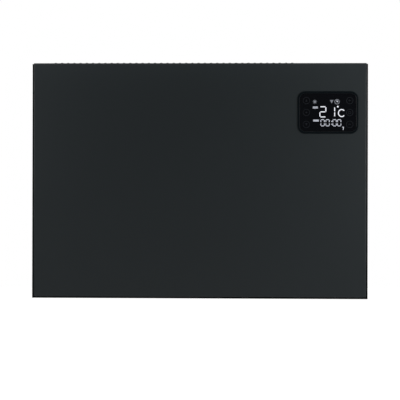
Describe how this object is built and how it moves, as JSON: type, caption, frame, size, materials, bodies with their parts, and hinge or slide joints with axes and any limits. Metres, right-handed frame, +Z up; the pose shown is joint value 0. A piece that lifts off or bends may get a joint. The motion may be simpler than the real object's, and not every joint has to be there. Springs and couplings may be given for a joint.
{
  "type": "convector heater",
  "caption": "Flat wall-hung panel convector heater: anthracite front panel, ribbed outlet along the top, black glass display at the top right, rocker switch on the side, hook-on wall brackets.",
  "frame": {"origin": "middle of the wall screw pattern, on the wall plane", "axes": "+X to the right seen from the front, +Y into the wall, +Z up; the heater stands in front of the wall towards -Y"},
  "size_m": [0.6035, 0.0812, 0.4252],
  "materials": {
    "panel_paint": "satin powder coat, anthracite",
    "casing_paint": "matt powder coat, black",
    "grille_paint": "matt powder coat, black",
    "bracket_paint": "matt powder coat, dark grey",
    "black_screw": "black oxide",
    "zinc_screw": "zinc plated",
    "zinc_sheet": "hot-dip galvanised",
    "alu_steel": "aluminised, bright",
    "fin_aluminium": "mill finish, extruded",
    "rod_steel": "stainless, drawn",
    "ceramic": "steatite, matt",
    "brass": "plain",
    "foil": "satin foil, blank",
    "rubber": "matt",
    "bezel_plastic": "semi-gloss, moulded",
    "window_glass": "smoked, gloss",
    "display_light": "lit, soft white",
    "black_plastic": "moulded",
    "rocker_plastic": "moulded, gloss",
    "white_plastic": "moulded",
    "board_green": "solder mask",
    "relay_blue": "moulded",
    "part_dark": "sleeve and core",
    "lead_sleeve": "silicone and PVC sleeves",
    "earth_sleeve": "PVC sleeve"
  },
  "bodies": {
    "wall_mount": {"wall_bracket_left": "bracket_paint", "wall_bracket_right": "bracket_paint"},
    "heater": {"rear_casing": "casing_paint", "front_panel": "panel_paint", "outlet_grille": "grille_paint", "inlet_grille": "grille_paint", "panel_screws": "black_screw", "grille_screws": "black_screw", "back_screws": "zinc_screw", "wall_bumpers": "rubber", "rating_plate": "foil", "partition_plate": "zinc_sheet", "wire_grommet": "rubber", "front_shield": "alu_steel", "shield_spacers": "ceramic", "rear_shield": "alu_steel", "element_fins": "fin_aluminium", "element_rod": "rod_steel", "element_insulators": "ceramic", "element_terminals": "brass", "element_bracket_left": "zinc_sheet", "element_bracket_right": "zinc_sheet", "thermal_cutout": "black_plastic", "cutout_bracket": "zinc_sheet", "element_leads": "lead_sleeve", "power_board": "board_green", "board_standoffs": "white_plastic", "board_screws": "zinc_screw", "transformer": "part_dark", "relays": "relay_blue", "capacitors": "part_dark", "board_connectors": "white_plastic", "terminal_block": "white_plastic", "mains_leads": "lead_sleeve", "earth_lead": "earth_sleeve", "earth_stud": "zinc_screw", "earth_nut": "brass", "temperature_probe": "part_dark", "probe_bush": "white_plastic", "sensor_lead": "lead_sleeve", "display_bezel": "bezel_plastic", "display_window": "window_glass", "display_housing": "black_plastic", "display_board": "board_green", "led_display": "display_light", "touch_pads": "black_plastic", "radio_module": "zinc_sheet", "display_screws": "zinc_screw", "ribbon_cable": "lead_sleeve", "switch_housing": "black_plastic", "cord_bush": "black_plastic", "cord_clamp": "white_plastic", "clamp_screws": "zinc_screw", "tilt_housing": "black_plastic", "tilt_cover": "black_plastic", "pendulum_pin": "zinc_screw", "reed_switch": "white_plastic"},
    "rocker": {"power_rocker": "rocker_plastic"},
    "pendulum": {"tilt_pendulum": "rod_steel"}
  },
  "joints": [
    {"name": "heater_lift", "type": "slide", "parent": "wall_mount", "child": "heater", "axis": [0, 0, 1], "range_m": [0, 0.01]},
    {"name": "rocker_tilt", "type": "hinge", "parent": "heater", "child": "rocker", "pos_m": [0.297, -0.032, -0.14], "axis": [0, 1, 0], "range_deg": [0, 14]},
    {"name": "pendulum_swing", "type": "hinge", "parent": "heater", "child": "pendulum", "pos_m": [0.198, -0.035, -0.1705], "axis": [1, 0, 0], "range_deg": [-15, 15]}
  ]
}
